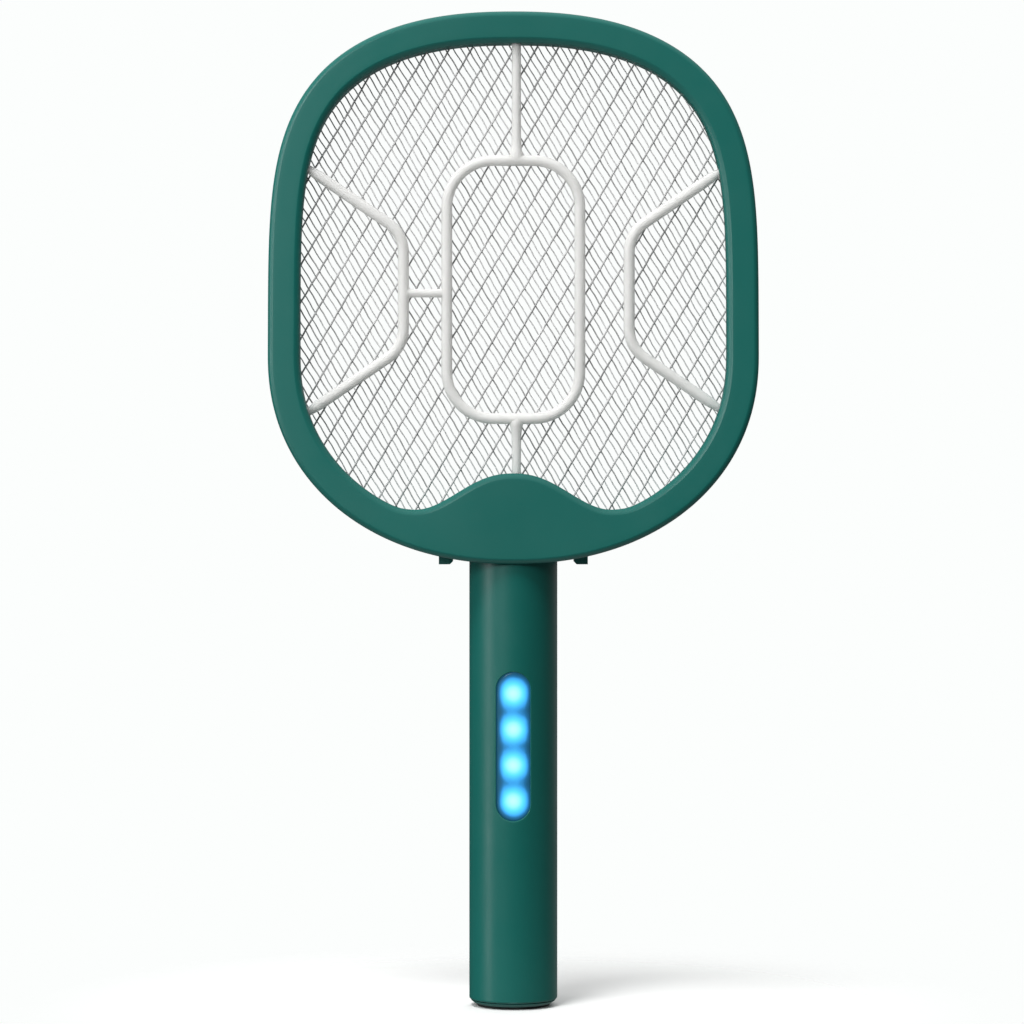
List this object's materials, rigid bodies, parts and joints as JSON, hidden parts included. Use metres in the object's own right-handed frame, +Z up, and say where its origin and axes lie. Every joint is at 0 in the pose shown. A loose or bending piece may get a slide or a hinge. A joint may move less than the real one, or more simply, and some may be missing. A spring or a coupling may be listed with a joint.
{
  "type": "electric bug zapper",
  "caption": "Battery insect racket: rounded ring head with layered diamond wire meshes and white braces on a straight round handle with a lit blue lamp window, zap button and mode slider.",
  "frame": {"origin": "middle of the foot, on the surface it stands on", "axes": "+Z up along the handle to the head; the front, with the lamp window, faces -Y; +X to the right seen from the front"},
  "size_m": [0.2212, 0.047, 0.45],
  "materials": {
    "green_abs": "satin moulded ABS, deep teal green",
    "white_nylon": "satin off-white moulded plastic",
    "steel_wire": "bright drawn steel wire",
    "screw_steel": "zinc-plated steel screws",
    "plated_steel": "nickel-plated pressed steel",
    "black_rubber": "matte black rubber",
    "blue_lens": "diffusing lamp cover, lit blue from behind",
    "lamp_emitter": "lit blue-white LED",
    "circuit_board": "green solder-masked glass-epoxy board",
    "cell_sleeve": null,
    "ferrite": "dark ferrite core with a taped winding",
    "film_red": "dipped film capacitor, brick red",
    "black_plastic": "fine matte black plastic",
    "red_sleeve": "red wire insulation",
    "black_sleeve": "black wire insulation"
  },
  "bodies": {
    "racket": {"head_front_shell": "green_abs", "head_rear_shell": "green_abs", "front_brace_frame": "white_nylon", "rear_brace_frame": "white_nylon", "front_guard_mesh": "steel_wire", "rear_guard_mesh": "steel_wire", "high_voltage_grid": "steel_wire", "front_grid_carrier": "green_abs", "rear_grid_carrier": "green_abs", "latch_clip_left": "green_abs", "latch_clip_right": "green_abs", "head_screw_1": "screw_steel", "head_screw_2": "screw_steel", "head_screw_3": "screw_steel", "head_screw_4": "screw_steel", "head_screw_5": "screw_steel", "head_screw_6": "screw_steel", "neck_screw_left": "screw_steel", "neck_screw_right": "screw_steel", "handle_front_shell": "green_abs", "handle_rear_shell": "green_abs", "handle_screw_upper": "screw_steel", "handle_screw_lower": "screw_steel", "end_cap": "green_abs", "foot_pad": "black_rubber", "light_lens": "blue_lens", "light_board": "circuit_board", "lamp_1": "lamp_emitter", "lamp_2": "lamp_emitter", "lamp_3": "lamp_emitter", "lamp_4": "lamp_emitter", "battery_cell": "cell_sleeve", "battery_cradle": "black_plastic", "main_board": "circuit_board", "step_up_transformer": "ferrite", "storage_capacitor": "film_red", "bleed_resistor": "black_plastic", "zap_switch": "black_plastic", "mode_switch": "plated_steel", "usb_socket": "plated_steel", "high_voltage_lead": "red_sleeve", "guard_lead": "black_sleeve", "guard_jumper": "black_sleeve", "cell_lead_positive": "red_sleeve", "cell_lead_negative": "black_sleeve", "light_lead": "black_sleeve"},
    "button": {"zap_button": "green_abs"},
    "slider": {"mode_slider": "black_plastic"}
  },
  "joints": [
    {"name": "zap_press", "type": "slide", "parent": "racket", "child": "button", "axis": [0, -1, 0], "range_m": [0, 0.0012], "stiffness_N_per_m": 1200, "springref_m": -0.0008},
    {"name": "mode_slide", "type": "slide", "parent": "racket", "child": "slider", "axis": [0, 0, 1], "range_m": [-0.003, 0.003]}
  ]
}
